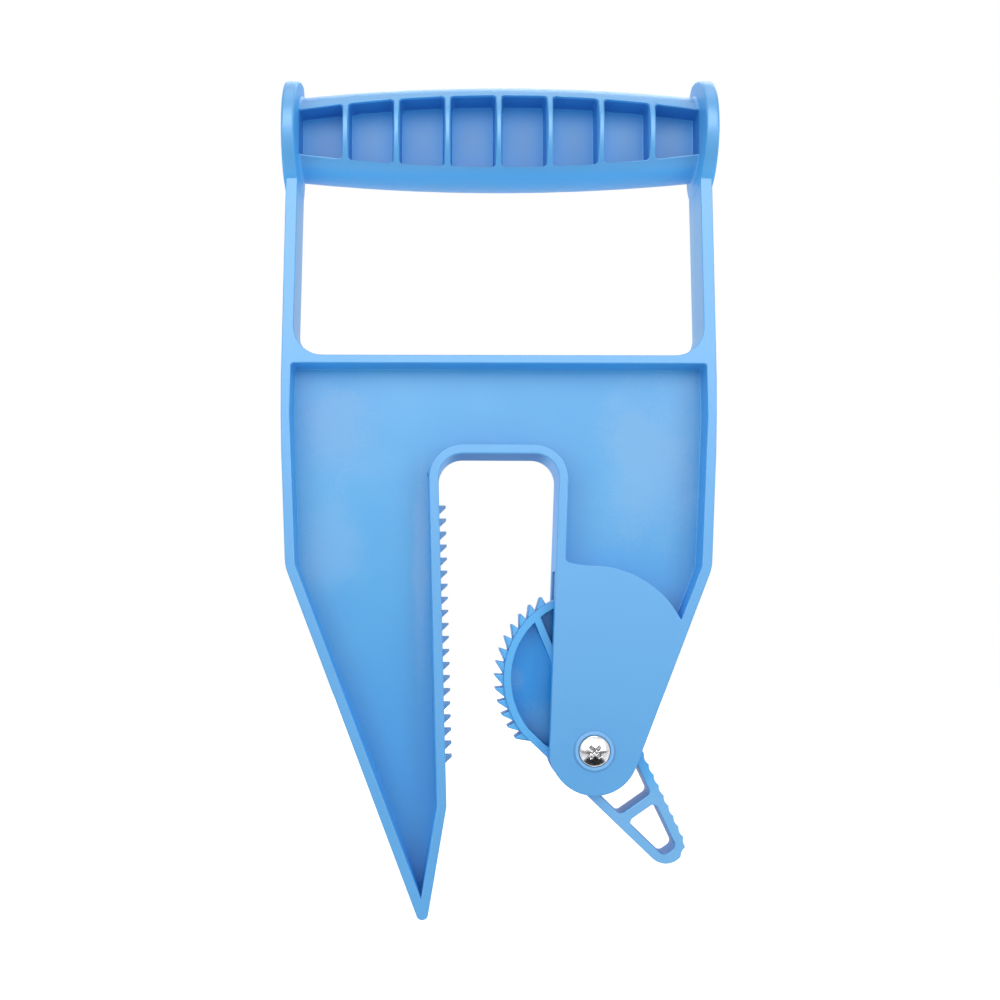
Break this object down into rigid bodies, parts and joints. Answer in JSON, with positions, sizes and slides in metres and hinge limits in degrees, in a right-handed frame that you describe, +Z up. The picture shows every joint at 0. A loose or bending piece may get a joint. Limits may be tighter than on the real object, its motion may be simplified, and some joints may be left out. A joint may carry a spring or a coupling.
{
  "type": "mat puller",
  "caption": "Hand carrier with a ribbed grip and a slotted plate: a pivoting toothed cam with a thumb lever jams a mat or panel edge against a fixed toothed rack.",
  "frame": {"origin": "middle of the grip's axis, where the hand carries the tool", "axes": "+X along the grip, +Z up from the jaw to the grip, -Y the front with the screw head"},
  "size_m": [0.1274, 0.034, 0.2437],
  "materials": {
    "frame_plastic": "satin moulded plastic, mid-light blue",
    "cam_plastic": "satin moulded plastic, mid-light blue",
    "screw_steel": "bright zinc-plated steel",
    "nut_steel": "zinc-plated steel",
    "nut_nylon": "natural nylon"
  },
  "bodies": {
    "carrier": {"frame": "frame_plastic", "pivot_screw": "screw_steel", "lock_nut": "nut_steel", "lock_nut_insert": "nut_nylon"},
    "cam": {"cam_lever": "cam_plastic"}
  },
  "joints": [
    {"name": "cam_pivot", "type": "hinge", "parent": "carrier", "child": "cam", "pos_m": [0.02724, 0, -0.17935], "axis": [0, -1, 0], "range_deg": [-37, 38]}
  ]
}
